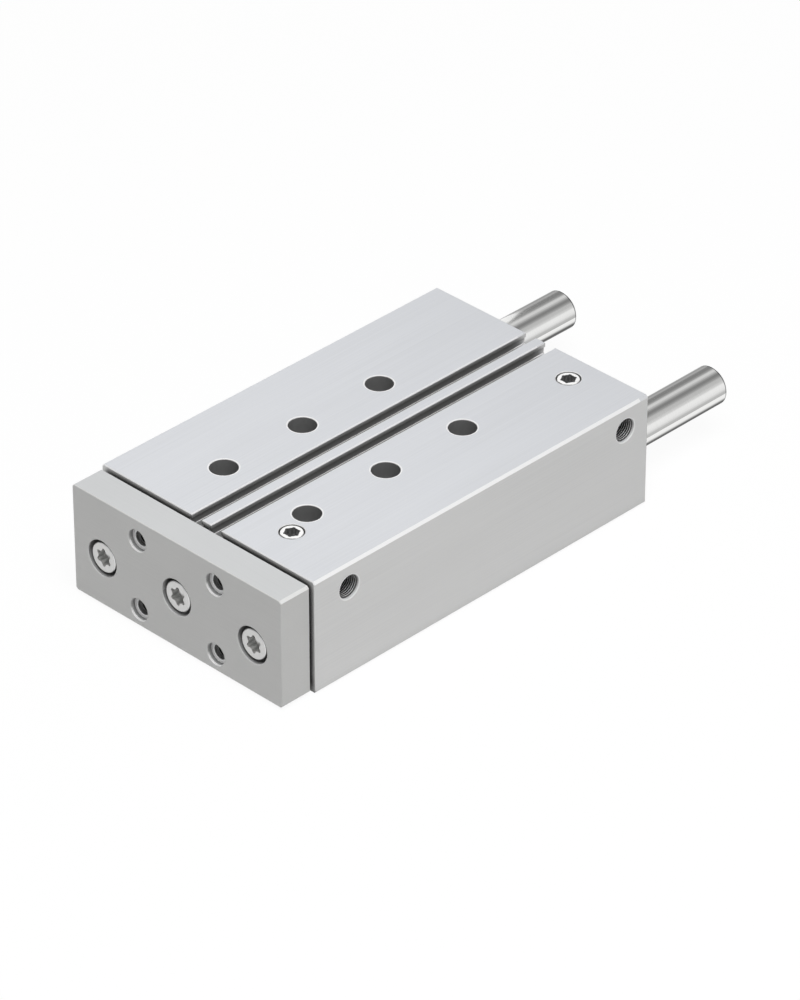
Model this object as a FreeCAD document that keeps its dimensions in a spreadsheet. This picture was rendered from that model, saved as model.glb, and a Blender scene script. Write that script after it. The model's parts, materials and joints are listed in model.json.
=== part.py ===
import FreeCAD, Part
import math
import os
import re
import Sketcher

# Guided pneumatic cylinder, 32 mm bore: a flat aluminium housing with one piston between two guide rods.
# A yoke plate screwed to the piston rod and both guide rods carries the load.
# Frame: +X towards the supply ports, +Y from the yoke plate to the rear, +Z up.
# The origin is the centre of the base hole pattern, on the bottom face of the housing.

# Every size is in millimetres and is written once, here.
SIZES = {
    # housing
    "housing_width": 110.0,
    "housing_height": 48.0,
    "long_edge": 1.0,            # chamfer along the long edges
    "end_edge": 0.4,             # bevel round both end faces
    "stroke_length": 125.0,
    # mounting holes, in two rows of three
    "hole_row_gap": 43.0,
    "hole_pitch": 40.0,
    "hole_count": 3,
    "first_hole": 29.3,          # from the front face
    "hole_through": 6.8,
    "head_recess": 10.9,
    "head_recess_depth": 7.5,
    "base_thread": 8.0,
    "base_thread_depth": 16.0,
    "centring_bore": 9.0,
    "centring_depth": 2.1,
    "hole_edge": 0.15,           # broken edge round the drilled holes
    # sensor slots
    "slot_gap": 10.0,            # between the two slot centres
    "slot_mouth": 5.2,
    "slot_edge": 0.4,
    "slot_lip": 2.0,
    "slot_inside": 6.6,
    "slot_depth": 5.4,
    "slot_corner": 0.5,
    # supply ports
    "port_thread": 9.73,
    "port_depth": 8.0,
    "port_edge": 0.15,
    "port_height": 10.0,         # of the top face above the side ports' axes
    "port_inset": 3.0,           # from the chamber's end to the port's axis
    "passage": 3.5,
    "plug_passage": 3.0,
    "plug_offset": 26.0,
    "plug_length": 6.5,
    "plug_bevel": 0.7,
    "plug_sunk": 0.2,
    "plug_socket": 6.4,
    "plug_socket_depth": 3.4,
    # piston bore and its end caps
    "bore": 32.0,
    "rod_height": 25.0,          # of the top face above the piston's axis
    "cap_bore": 34.0,
    "front_cap_depth": 14.2,
    "rear_cap_depth": 9.4,
    "ring_inset": 1.6,
    "ring_thickness": 1.2,
    "ring_groove": 36.0,
    "ring_width": 2.6,
    "ring_lug": 5.4,
    "ring_hole": 2.0,
    "ring_opening": 11.0,
    "entry_edge": 0.5,
    "cap_oring": 1.9,
    "oring_room": 0.35,          # axial room beside an O-ring
    "bumper_outer": 24.0,
    "bumper_thickness": 3.0,
    # piston
    "piston_length": 18.6,
    "piston_nose": 26.0,
    "nose_length": 2.5,
    "magnet_length": 5.0,
    "magnet_inner": 18.0,
    "magnet_outer": 26.6,
    "guide_ring_inner": 27.4,
    "seal_width": 2.5,
    "seal_root": 25.6,
    "seal_lip": 0.8,
    "nut_flats": 13.0,
    "nut_height": 4.0,
    "nut_recess": 15.6,
    "nut_recess_depth": 4.6,
    # piston rod
    "rod_diameter": 12.0,
    "rod_spigot": 8.0,
    "rod_bush_outer": 15.0,
    "rod_seal_outer": 18.0,
    "rod_seal_length": 4.5,
    "rod_bush_stop": 0.8,
    # guide rods
    "guide_diameter": 16.0,
    "guide_offset": 39.0,
    "guide_height": 26.7,        # of the top face above the guide rods' axes
    "guide_overhang": 54.2,      # behind the housing, retracted
    "guide_tip": 0.9,
    "guide_bore": 22.0,
    "guide_escape": 17.0,
    "wiper_inset": 0.5,
    "wiper_length": 4.0,
    "bush_length": 28.0,
    "bush_reserve": 3.8,         # guide rod left behind the rear bush when fully extended
    # yoke plate and its screws
    "yoke_width": 108.0,
    "yoke_height": 46.0,
    "yoke_thickness": 14.0,
    "yoke_gap": 1.6,
    "yoke_edge": 1.0,
    "yoke_face_edge": 0.3,
    "yoke_hole_gap_x": 40.0,
    "yoke_hole_gap_z": 30.0,
    "yoke_thread": 6.0,
    "yoke_thread_entry": 6.6,
    "screw_thread": 8.0,
    "screw_clearance": 9.0,
    "screw_head": 12.6,
    "screw_head_height": 6.0,
    "screw_head_edge": 0.45,
    "screw_recess": 15.0,
    "screw_sunk": 0.75,
    "screw_length": 24.0,
    "screw_tip": 1.0,
    "screw_socket": 7.8,
    "screw_socket_depth": 3.6,
    "tapped_spare": 3.0,         # thread left below the screw's end
    # clearances
    "running_gap": 0.05,         # radial, between pieces that slide
    "piston_gap": 0.2,           # radial, piston body to bore
    "seat_gap": 0.02,            # radial, between pieces pressed or screwed together
    "stop_gap": 0.2,             # left at each end of the stroke
}

# Lengths that follow from the sizes, as expressions of the spreadsheet.
ROD_AXIS = "(housing_height - rod_height)"
GUIDE_AXIS = "(housing_height - guide_height)"
PORT_AXIS = "(housing_height - port_height)"
CHAMBER = "(stroke_length + piston_length + 2 * bumper_thickness + 2 * stop_gap)"
HOUSING_LENGTH = f"(front_cap_depth + {CHAMBER} + rear_cap_depth)"
HOUSING_FRONT = "(-first_hole - (hole_count - 1) * hole_pitch / 2)"
FRONT_PORT = "(front_cap_depth + port_inset)"
REAR_PORT = f"(front_cap_depth + {CHAMBER} - port_inset)"
REAR_CAP = f"(front_cap_depth + {CHAMBER})"
PISTON_FRONT = f"({REAR_CAP} - bumper_thickness - stop_gap - piston_length)"
BUSH_END = f"({HOUSING_LENGTH} + guide_overhang - stroke_length - bush_reserve)"
YOKE_REAR = "(-yoke_gap)"
YOKE_FRONT = "(-yoke_gap - yoke_thickness)"
TAPPED_DEPTH = "(screw_length - yoke_thickness + screw_sunk + screw_head_height + tapped_spare)"
CAP_FACE = "(ring_inset + ring_thickness + seat_gap)"

FULL_TURN = 360
TOUCH = 1e-6                     # closer than this counts as in the same plane
HEXAGON = 6
LOBES = 6
SOCKET_VALLEY = 0.72             # valley diameter of a hexalobular socket, as a share of its lobes
SOCKET_LOBE_RADIUS = 0.105       # radius of a lobe, as a share of the socket size
SOCKET_BOTTOM = 0.15             # depth of the socket's conical bottom, as a share of its size

doc = FreeCAD.newDocument("guided_cylinder")
sheet = doc.addObject("Spreadsheet::Sheet", "sizes")
sub_parts = []


def fill_sheet():
    for row, (name, value) in enumerate(SIZES.items(), start=1):
        sheet.set(f"A{row}", name)
        sheet.set(f"B{row}", str(value))
        sheet.setAlias(f"B{row}", name)
    doc.recompute()


def on_sheet(word):
    return f"sizes.{word.group()}" if word.group() in SIZES else word.group()


def bind(thing, path, text):
    """Tie a property to an expression of sizes, written without the sheet's name."""
    thing.setExpression(path, re.sub(r"[a-z][a-z_]+", on_sheet, text))


def bind_place(thing, at):
    for axis, text in zip("xyz", at):
        bind(thing, f"Placement.Base.{axis}", text)


def new_body(label, at=("0", "0", "0")):
    """A sub-part's body, placed in the frame by three expressions."""
    body = doc.addObject("PartDesign::Body", label)
    body.Label = label
    bind_place(body, at)
    sub_parts.append(body)
    return body


def along_y(y_from_front, x="0", height="0"):
    """A place given by its distance behind the housing's front face."""
    return (x, f"{HOUSING_FRONT} + ({y_from_front})", height)


def origin_plane(body, role):
    return next(feature for feature in body.Origin.OriginFeatures if feature.Role == role)


def new_sketch(body, name, plane="XY_Plane", offset=("0", "0", "0")):
    sketch = body.newObject("Sketcher::SketchObject", name)
    sketch.AttachmentSupport = (origin_plane(body, plane), "")
    sketch.MapMode = "FlatFace"
    for axis, text in zip("xyz", offset):
        bind(sketch, f"AttachmentOffset.Base.{axis}", text)
    return sketch


def draw_outline(sketch, corners):
    """A closed outline whose corners are pairs of expressions."""
    count = len(corners)
    turn = 2 * math.pi / count
    rough = [FreeCAD.Vector(math.cos(i * turn), math.sin(i * turn), 0) for i in range(count)]
    first = sketch.GeometryCount
    for i in range(count):
        sketch.addGeometry(Part.LineSegment(rough[i], rough[(i + 1) % count]), False)
    for i in range(count):
        after = first + (i + 1) % count
        sketch.addConstraint(Sketcher.Constraint("Coincident", first + i, 2, after, 1))
    for i, corner in enumerate(corners):
        for kind, text, start in zip(("DistanceX", "DistanceY"), corner, rough[i]):
            number = sketch.addConstraint(Sketcher.Constraint(kind, -1, 1, first + i, 1, start))
            bind(sketch, f"Constraints[{number}]", text)


def draw_circle(sketch, diameter, centre=("0", "0")):
    number = sketch.addGeometry(Part.Circle(FreeCAD.Vector(1, 1, 0), FreeCAD.Vector(0, 0, 1), 1), False)
    size = sketch.addConstraint(Sketcher.Constraint("Diameter", number, 2))
    bind(sketch, f"Constraints[{size}]", diameter)
    for kind, text in zip(("DistanceX", "DistanceY"), centre):
        place = sketch.addConstraint(Sketcher.Constraint(kind, -1, 1, number, 3, 1))
        bind(sketch, f"Constraints[{place}]", text)


def spin(body, sketch, cut=False, axis="V_Axis"):
    """Turn a sketch about one of its own axes, to add material or to cut it away."""
    kind = "PartDesign::Groove" if cut else "PartDesign::Revolution"
    feature = body.newObject(kind, f"{sketch.Name}_turned")
    feature.Profile = sketch
    feature.ReferenceAxis = (sketch, [axis])
    feature.Angle = FULL_TURN
    sketch.Visibility = False
    return feature


def turned(label, outline, at, bore_outline=None):
    """A round piece whose axis runs along Y. Its outline is given as radius and distance along the axis."""
    body = new_body(label, at)
    sketch = new_sketch(body, f"{label}_outline")
    draw_outline(sketch, outline)
    spin(body, sketch)
    if bore_outline:
        hole = new_sketch(body, f"{label}_bore")
        draw_outline(hole, bore_outline)
        spin(body, hole, cut=True)
    return body


def drill(body, name, outline, offset, plane="XY_Plane", axis="V_Axis"):
    sketch = new_sketch(body, name, plane, offset)
    draw_outline(sketch, outline)
    return spin(body, sketch, cut=True, axis=axis)


def extrude(body, sketch, length, cut=False):
    """Pad or pocket a sketch on the XZ plane towards +Y."""
    feature = body.newObject("PartDesign::Pocket" if cut else "PartDesign::Pad", f"{sketch.Name}_solid")
    feature.Profile = sketch
    feature.Reversed = not cut
    bind(feature, "Length", length)
    sketch.Visibility = False
    return feature


def mirror(body, feature, plane="YZ_Plane"):
    """Repeat a feature on the other side of one of the body's planes."""
    copy = body.newObject("PartDesign::Mirrored", f"{feature.Name}_mirrored")
    copy.Originals = [feature]
    copy.MirrorPlane = (origin_plane(body, plane), [""])
    body.Tip = copy
    return copy


def bevel_edges(body, size, chosen):
    """Chamfer the edges of the body's last feature that a test picks out."""
    doc.recompute()
    base = body.Tip
    names = [f"Edge{i}" for i, edge in enumerate(base.Shape.Edges, start=1) if chosen(edge)]
    chamfer = body.newObject("PartDesign::Chamfer", f"{body.Name}_bevel")
    chamfer.Base = (base, names)
    bind(chamfer, "Size", size)
    return chamfer


def flat_ends(edge, *planes):
    """True for an edge that lies in one of the planes y = constant."""
    box = edge.BoundBox
    return any(abs(box.YMin - y) < TOUCH and abs(box.YMax - y) < TOUCH for y in planes)


def on_outside(edge, half_width, bottom, top):
    """True for an edge on the outside of a plate seen along Y."""
    box = edge.BoundBox
    reaches_side = max(abs(box.XMin), abs(box.XMax)) > half_width - TOUCH
    upright = box.XLength < TOUCH
    level = box.ZLength < TOUCH
    at_top_or_bottom = abs(box.ZMin - bottom) < TOUCH or abs(box.ZMax - top) < TOUCH
    return (reaches_side and not level) or (at_top_or_bottom and not upright and level)


def bevelled_rectangle(width, height, edge, bottom="0"):
    """Corners of a rectangle with four equal bevels, starting at the bottom left."""
    half = f"({width}) / 2"
    top = f"({bottom}) + ({height})"
    return [
        (f"-({half}) + {edge}", bottom), (f"{half} - {edge}", bottom),
        (half, f"{bottom} + {edge}"), (half, f"{top} - {edge}"),
        (f"{half} - {edge}", top), (f"-({half}) + {edge}", top),
        (f"-({half})", f"{top} - {edge}"), (f"-({half})", f"{bottom} + {edge}"),
    ]


def slot_outline(centre):
    """Corners of one sensor slot from its right lip to its left, cut down from the top face."""
    down = [
        ("slot_mouth / 2 + slot_edge", "0"), ("slot_mouth / 2", "slot_edge"),
        ("slot_mouth / 2", "slot_lip"), ("slot_inside / 2", "slot_lip"),
        ("slot_inside / 2", "slot_depth - slot_corner"), ("slot_inside / 2 - slot_corner", "slot_depth"),
    ]
    right = [(f"{centre} + {across}", f"housing_height - ({depth})") for across, depth in down]
    left = [(f"{centre} - ({across})", f"housing_height - ({depth})") for across, depth in reversed(down)]
    return right + left


def stepped_hole(mouth, direction, steps, edge):
    """Outline of a hole of falling diameters. Steps are pairs of diameter and the depth it reaches.

    The outline is given as radius and place along the hole, from its mouth, in the direction +1 or -1.
    """
    def place(depth):
        return f"{mouth} + {direction} * ({depth})"

    widest = steps[0][0]
    corners = [("0", place("0")), (f"({widest}) / 2 + {edge}", place("0")), (f"({widest}) / 2", place(edge))]
    for i, (diameter, depth) in enumerate(steps):
        corners.append((f"({diameter}) / 2", place(depth)))
        if i + 1 < len(steps):
            corners.append((f"({steps[i + 1][0]}) / 2", place(depth)))
    corners.append(("0", place(steps[-1][1])))
    return corners


def swap(outline):
    return [(v, u) for u, v in outline]


def piston_bore_outline():
    """Bore for the piston, wider at both ends for the end caps, with a groove for each retaining ring."""
    groove = "ring_thickness + 2 * seat_gap"
    end = HOUSING_LENGTH
    return [
        ("0", "0"), ("cap_bore / 2 + entry_edge", "0"), ("cap_bore / 2", "entry_edge"),
        ("cap_bore / 2", "ring_inset - seat_gap"), ("ring_groove / 2", "ring_inset - seat_gap"),
        ("ring_groove / 2", f"ring_inset - seat_gap + {groove}"),
        ("cap_bore / 2", f"ring_inset - seat_gap + {groove}"),
        ("cap_bore / 2", "front_cap_depth"), ("bore / 2", "front_cap_depth"),
        ("bore / 2", REAR_CAP), ("cap_bore / 2", REAR_CAP),
        ("cap_bore / 2", f"{end} - ring_inset + seat_gap - ({groove})"),
        ("ring_groove / 2", f"{end} - ring_inset + seat_gap - ({groove})"),
        ("ring_groove / 2", f"{end} - ring_inset + seat_gap"),
        ("cap_bore / 2", f"{end} - ring_inset + seat_gap"),
        ("cap_bore / 2", f"{end} - entry_edge"), ("cap_bore / 2 + entry_edge", end), ("0", end),
    ]


def guide_bore_outline():
    """Bore for a guide rod's wiper and bushes, narrower behind them."""
    end = HOUSING_LENGTH
    return [
        ("0", "0"), ("guide_bore / 2 + entry_edge", "0"), ("guide_bore / 2", "entry_edge"),
        ("guide_bore / 2", BUSH_END), ("guide_escape / 2", BUSH_END),
        ("guide_escape / 2", f"{end} - entry_edge"), ("guide_escape / 2 + entry_edge", end), ("0", end),
    ]


def mounting_hole_outline():
    """One mounting hole: screw head recess above, clearance hole, thread and centring recess below."""
    return [
        ("0", "0"), ("centring_bore / 2 + hole_edge", "0"), ("centring_bore / 2", "hole_edge"),
        ("centring_bore / 2", "centring_depth"), ("base_thread / 2", "centring_depth"),
        ("base_thread / 2", "base_thread_depth"), ("hole_through / 2", "base_thread_depth"),
        ("hole_through / 2", "housing_height - head_recess_depth"),
        ("head_recess / 2", "housing_height - head_recess_depth"),
        ("head_recess / 2", "housing_height - hole_edge"),
        ("head_recess / 2 + hole_edge", "housing_height"), ("0", "housing_height"),
    ]


def drill_mounting_holes(body):
    """Two rows of holes, made from one hole by a row pattern and a mirror."""
    place = ("hole_row_gap / 2", "0", "-first_hole")
    hole = drill(body, "mounting_hole", mounting_hole_outline(), place, "XZ_Plane")
    both = body.newObject("PartDesign::MultiTransform", "mounting_holes")
    both.Originals = [hole]
    row = body.newObject("PartDesign::LinearPattern", "mounting_hole_row")
    row.Direction = (origin_plane(body, "Y_Axis"), [""])
    bind(row, "Length", "(hole_count - 1) * hole_pitch")
    bind(row, "Occurrences", "hole_count")
    other_side = body.newObject("PartDesign::Mirrored", "mounting_hole_other_row")
    other_side.MirrorPlane = (origin_plane(body, "YZ_Plane"), [""])
    both.Transformations = [row, other_side]
    body.Tip = both


def drill_ports(body):
    """At each end a threaded port in the side and another in the top, both led to the piston bore."""
    for end, place in (("front", FRONT_PORT), ("rear", REAR_PORT)):
        side_steps = [("port_thread", "port_depth"), ("passage", "housing_width / 2")]
        side = stepped_hole("housing_width / 2", -1, side_steps, "port_edge")
        drill(body, f"{end}_side_port", swap(side), ("0", place, PORT_AXIS), "XY_Plane", "H_Axis")
        top_steps = [("port_thread", "port_depth"), ("plug_passage", "port_height")]
        top = stepped_hole("housing_height", -1, top_steps, "port_edge")
        drill(body, f"{end}_top_port", top, ("plug_offset", "0", f"-{place}"), "XZ_Plane")


def make_housing():
    body = new_body("housing", along_y("0"))
    section = new_sketch(body, "housing_section", "XZ_Plane")
    corners = bevelled_rectangle("housing_width", "housing_height", "long_edge")
    slots = slot_outline("slot_gap / 2") + slot_outline("-slot_gap / 2")
    draw_outline(section, corners[:5] + slots + corners[5:])
    extrude(body, section, HOUSING_LENGTH)
    doc.recompute()
    box = body.Tip.Shape.BoundBox
    bevel_edges(body, "end_edge", lambda edge: flat_ends(edge, box.YMin, box.YMax)
                and on_outside(edge, box.XMax, box.ZMin, box.ZMax))
    drill(body, "piston_bore", piston_bore_outline(), ("0", "0", ROD_AXIS))
    guide = drill(body, "guide_bore", guide_bore_outline(), ("guide_offset", "0", GUIDE_AXIS))
    mirror(body, guide)
    drill_mounting_holes(body)
    drill_ports(body)


def make_front_end_cap():
    """Front end cap with its O-ring groove, rod bush seat and rod seal seat."""
    length = f"(front_cap_depth - {CAP_FACE})"
    groove = f"({length} / 2)"
    outer = "cap_bore / 2 - seat_gap"
    root = "cap_bore / 2 - cap_oring"
    turned("front_end_cap", [
        ("rod_diameter / 2 + 3 * running_gap", "0"), (outer, "0"),
        (outer, f"{groove} - cap_oring / 2 - oring_room"), (root, f"{groove} - cap_oring / 2 - oring_room"),
        (root, f"{groove} + cap_oring / 2 + oring_room"), (outer, f"{groove} + cap_oring / 2 + oring_room"),
        (outer, length), ("rod_diameter / 2 + 3 * running_gap", length),
    ], along_y(CAP_FACE, height=ROD_AXIS), [
        ("0", "0"), ("rod_seal_outer / 2", "0"), ("rod_seal_outer / 2", "rod_seal_length"),
        ("rod_bush_outer / 2", "rod_seal_length"), ("rod_bush_outer / 2", f"{length} - rod_bush_stop"),
        ("0", f"{length} - rod_bush_stop"),
    ])


def make_rear_end_cap():
    length = "(rear_cap_depth - ring_inset - ring_thickness - seat_gap)"
    groove = f"({length} / 2)"
    outer = "cap_bore / 2 - seat_gap"
    root = "cap_bore / 2 - cap_oring"
    turned("rear_end_cap", [
        ("0", "0"), (outer, "0"),
        (outer, f"{groove} - cap_oring / 2 - oring_room"), (root, f"{groove} - cap_oring / 2 - oring_room"),
        (root, f"{groove} + cap_oring / 2 + oring_room"), (outer, f"{groove} + cap_oring / 2 + oring_room"),
        (outer, length), ("0", length),
    ], along_y(REAR_CAP, height=ROD_AXIS))


def make_oring(label, place):
    """O-ring squeezed between the bottom of its groove and the bore."""
    body = new_body(label, along_y(place, height=ROD_AXIS))
    sketch = new_sketch(body, f"{label}_section")
    draw_circle(sketch, "cap_oring - 2 * seat_gap", ("(cap_bore - cap_oring) / 2", "0"))
    spin(body, sketch)


def make_cap_orings():
    front_length = f"(front_cap_depth - {CAP_FACE})"
    rear_length = "(rear_cap_depth - ring_inset - ring_thickness - seat_gap)"
    make_oring("front_cap_oring", f"{CAP_FACE} + {front_length} / 2")
    make_oring("rear_cap_oring", f"{REAR_CAP} + {rear_length} / 2")


def make_retaining_ring(label, place):
    """Internal retaining ring: an open ring with a plier hole in each of its two lugs."""
    body = new_body(label, along_y(place, height=ROD_AXIS))
    ring = new_sketch(body, f"{label}_ring", "XZ_Plane")
    draw_circle(ring, "ring_groove - 2 * seat_gap")
    draw_circle(ring, "ring_groove - 2 * ring_width")
    extrude(body, ring, "ring_thickness")
    opening = new_sketch(body, f"{label}_opening", "XZ_Plane")
    draw_outline(opening, [
        ("-ring_opening / 2", "0"), ("ring_opening / 2", "0"),
        ("ring_opening / 2", "-ring_groove"), ("-ring_opening / 2", "-ring_groove"),
    ])
    extrude(body, opening, "ring_thickness", cut=True)
    lugs = new_sketch(body, f"{label}_lugs", "XZ_Plane")
    holes = new_sketch(body, f"{label}_holes", "XZ_Plane")
    lug_height = "-(cap_bore / 2 - ring_lug / 2 - seat_gap)"
    for side in ("-", ""):
        centre = (f"{side}(ring_opening / 2)", lug_height)
        draw_circle(lugs, "ring_lug", centre)
        draw_circle(holes, "ring_hole", centre)
    extrude(body, lugs, "ring_thickness")
    extrude(body, holes, "ring_thickness", cut=True)


def tube(label, inner, outer, length, at):
    inside = f"({inner}) / 2"
    outside = f"({outer}) / 2"
    return turned(label, [(inside, "0"), (outside, "0"), (outside, length), (inside, length)], at)


def make_rod_bearing():
    """Plain bush and lip seal that carry and seal the piston rod in the front end cap."""
    length = f"(front_cap_depth - {CAP_FACE})"
    bush_length = f"({length} - rod_seal_length - rod_bush_stop)"
    rod_hole = "rod_diameter + 2 * running_gap"
    tube("rod_bush", rod_hole, "rod_bush_outer - 2 * seat_gap", bush_length,
         along_y(f"{CAP_FACE} + rod_seal_length", height=ROD_AXIS))
    outer = "rod_seal_outer / 2 - seat_gap"
    inner = f"({rod_hole}) / 2"
    turned("rod_seal", [
        (inner, "0"), (f"{inner} + seal_lip", "0"), (f"{inner} + seal_lip", "rod_seal_length / 3"),
        (outer, "rod_seal_length / 3"), (outer, "rod_seal_length"),
        (f"{inner} + 2 * seal_lip", "rod_seal_length"),
        (f"{inner} + 2 * seal_lip", "rod_seal_length * 2 / 3"),
        (f"{inner} + seal_lip", "rod_seal_length * 2 / 3"), (inner, "rod_seal_length"),
    ], along_y(CAP_FACE, height=ROD_AXIS))


def make_bumpers():
    """Elastic discs that stop the piston softly at each end of the chamber."""
    tube("front_bumper", "rod_diameter + 6 * running_gap", "bumper_outer", "bumper_thickness",
         along_y("front_cap_depth", height=ROD_AXIS))
    turned("rear_bumper", [
        ("0", "0"), ("bumper_outer / 2", "0"),
        ("bumper_outer / 2", "bumper_thickness"), ("0", "bumper_thickness"),
    ], along_y(f"{REAR_CAP} - bumper_thickness", height=ROD_AXIS))


def make_guide_bearings():
    """Two plain bushes and a wiper for each guide rod."""
    hole = "guide_diameter + 2 * running_gap"
    outer = "guide_bore - 2 * seat_gap"
    front_bush = "wiper_inset + wiper_length"
    rear_bush = f"{BUSH_END} - bush_length"
    for side, sign in (("left", "-"), ("right", "")):
        across = f"{sign}guide_offset"
        for end, place in (("front", front_bush), ("rear", rear_bush)):
            at = along_y(place, across, GUIDE_AXIS)
            tube(f"guide_bush_{end}_{side}", hole, outer, "bush_length", at)
        inner = f"({hole}) / 2"
        turned(f"guide_wiper_{side}", [
            (inner, "0"), (f"{inner} + seal_lip", "0"), (f"{inner} + 2 * seal_lip", "wiper_length / 2"),
            (f"({outer}) / 2", "wiper_length / 2"), (f"({outer}) / 2", "wiper_length"),
            (f"{inner} + seal_lip", "wiper_length"), (f"{inner} + seal_lip", "wiper_length / 2"),
        ], along_y("wiper_inset", across, GUIDE_AXIS))


def hexalobular_wire(size, turned_by):
    """The outline of a hexalobular socket: six lobes joined by six tangent hollows."""
    lobe = SOCKET_LOBE_RADIUS * size
    valley = SOCKET_VALLEY * size
    lobe_centre = size / 2 - lobe
    step = math.pi / LOBES
    cosine = math.cos(step)
    hollow = (lobe**2 - lobe_centre**2 - valley**2 / 4 + lobe_centre * valley * cosine)
    hollow /= valley - 2 * lobe_centre * cosine - 2 * lobe
    hollow_centre = valley / 2 + hollow

    def polar(radius, angle):
        return FreeCAD.Vector(radius * math.cos(angle + turned_by), radius * math.sin(angle + turned_by), 0)

    def tangent_point(lobe_angle, hollow_angle):
        start = polar(lobe_centre, lobe_angle)
        return start + (polar(hollow_centre, hollow_angle) - start) * (lobe / (lobe + hollow))

    edges = []
    for i in range(LOBES):
        angle = 2 * i * step
        before = tangent_point(angle, angle - step)
        after = tangent_point(angle, angle + step)
        following = tangent_point(angle + 2 * step, angle + step)
        edges.append(Part.Arc(before, polar(size / 2, angle), after).toShape())
        edges.append(Part.Arc(after, polar(valley / 2, angle + step), following).toShape())
    return Part.Wire(edges)


def cut_socket(blank, label, at, size, depth, turned_by, rotation):
    """Cut a hexalobular socket, with the cone that its punch leaves, into a turned blank.

    The finished piece takes the place of its blank in the list of sub-parts.
    """
    prism = Part.Face(hexalobular_wire(size, turned_by)).extrude(FreeCAD.Vector(0, 0, depth))
    cone = Part.makeCone(size * SOCKET_VALLEY / 2, 0, size * SOCKET_BOTTOM, FreeCAD.Vector(0, 0, depth))
    tool = doc.addObject("Part::Feature", f"{label}_socket_tool")
    tool.Shape = prism.fuse(cone)
    tool.Placement = FreeCAD.Placement(FreeCAD.Vector(), rotation)
    bind_place(tool, at)
    cut = doc.addObject("Part::Cut", label)
    cut.Base = blank
    cut.Tool = tool
    cut.Label = label
    sub_parts[sub_parts.index(blank)] = cut


def make_port_plugs():
    """Threaded plugs in the two top ports, a little below the top face."""
    face_down = FreeCAD.Rotation(FreeCAD.Vector(1, 0, 0), FULL_TURN / 2)
    outer = "port_thread / 2 - seat_gap"
    for end, place in (("front", FRONT_PORT), ("rear", REAR_PORT)):
        label = f"port_plug_{end}"
        at = along_y(place, "plug_offset", "housing_height - plug_sunk")
        blank = new_body(f"{label}_blank", at)
        sketch = new_sketch(blank, f"{label}_outline", "XZ_Plane")
        draw_outline(sketch, [
            ("0", "-plug_length"), (f"{outer} - plug_bevel", "-plug_length"),
            (outer, "-plug_length + plug_bevel"), (outer, "-plug_bevel"),
            (f"{outer} - plug_bevel", "0"), ("0", "0"),
        ])
        spin(blank, sketch)
        cut_socket(blank, label, at, sheet.plug_socket, sheet.plug_socket_depth, 0, face_down)


def make_yoke_plate():
    """Plate across the piston rod and both guide rods, with three screw seats and four threaded holes."""
    body = new_body("yoke_plate", along_y(YOKE_FRONT))
    section = new_sketch(body, "yoke_section", "XZ_Plane")
    inset = "(housing_height - yoke_height) / 2"
    draw_outline(section, bevelled_rectangle("yoke_width", "yoke_height", "yoke_edge", inset))
    extrude(body, section, "yoke_thickness")
    doc.recompute()
    thickness = body.Tip.Shape.BoundBox.YLength
    bevel_edges(body, "yoke_face_edge", lambda edge: flat_ends(edge, 0, thickness))
    seat = stepped_hole("0", 1, [("screw_recess", "screw_sunk + screw_head_height"),
                                 ("screw_clearance", "yoke_thickness")], "hole_edge")
    drill(body, "centre_screw_seat", seat, ("0", "0", ROD_AXIS))
    mirror(body, drill(body, "outer_screw_seat", seat, ("guide_offset", "0", GUIDE_AXIS)))
    tapped = [
        ("0", "0"), ("centring_bore / 2 + hole_edge", "0"), ("centring_bore / 2", "hole_edge"),
        ("centring_bore / 2", "centring_depth"), ("yoke_thread_entry / 2", "centring_depth"),
        ("yoke_thread / 2", "centring_depth + (yoke_thread_entry - yoke_thread) / 2"),
        ("yoke_thread / 2", "yoke_thickness"), ("0", "yoke_thickness"),
    ]
    for level, sign in (("lower", "-"), ("upper", "+")):
        height = f"{ROD_AXIS} {sign} yoke_hole_gap_z / 2"
        mirror(body, drill(body, f"{level}_threaded_hole", tapped, ("yoke_hole_gap_x / 2", "0", height)))


def make_yoke_screws():
    """Three socket screws that clamp the yoke plate to the rods' front ends."""
    face_rear = FreeCAD.Rotation(FreeCAD.Vector(1, 0, 0), -FULL_TURN / 4)
    lobe_up = math.pi / 2
    tip = "screw_head_height + screw_length"
    places = (("left", "-guide_offset", GUIDE_AXIS), ("centre", "0", ROD_AXIS),
              ("right", "guide_offset", GUIDE_AXIS))
    for side, across, height in places:
        label = f"yoke_screw_{side}"
        at = along_y(f"{YOKE_FRONT} + screw_sunk", across, height)
        blank = turned(f"{label}_blank", [
            ("0", "0"), ("screw_head / 2 - screw_head_edge", "0"), ("screw_head / 2", "screw_head_edge"),
            ("screw_head / 2", "screw_head_height"), ("screw_thread / 2 - seat_gap", "screw_head_height"),
            ("screw_thread / 2 - seat_gap", f"{tip} - screw_tip"),
            ("screw_thread / 2 - screw_tip", tip), ("0", tip),
        ], at)
        cut_socket(blank, label, at, sheet.screw_socket, sheet.screw_socket_depth, lobe_up, face_rear)


def rod_with_thread(label, outline, across, height):
    """A rod that starts at the yoke plate's rear face, tapped in front for its screw."""
    tapped = [
        ("0", "0"), ("screw_thread / 2", "0"), ("screw_thread / 2", TAPPED_DEPTH),
        ("0", f"{TAPPED_DEPTH} + screw_thread / 2"),
    ]
    return turned(label, outline, along_y(YOKE_REAR, across, height), tapped)


def make_guide_rods():
    length = f"(yoke_gap + {HOUSING_LENGTH} + guide_overhang)"
    for side, sign in (("left", "-"), ("right", "")):
        rod_with_thread(f"guide_rod_{side}", [
            ("0", "0"), ("guide_diameter / 2", "0"), ("guide_diameter / 2", f"{length} - guide_tip"),
            ("guide_diameter / 2 - guide_tip", length), ("0", length),
        ], f"{sign}guide_offset", GUIDE_AXIS)


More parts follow.
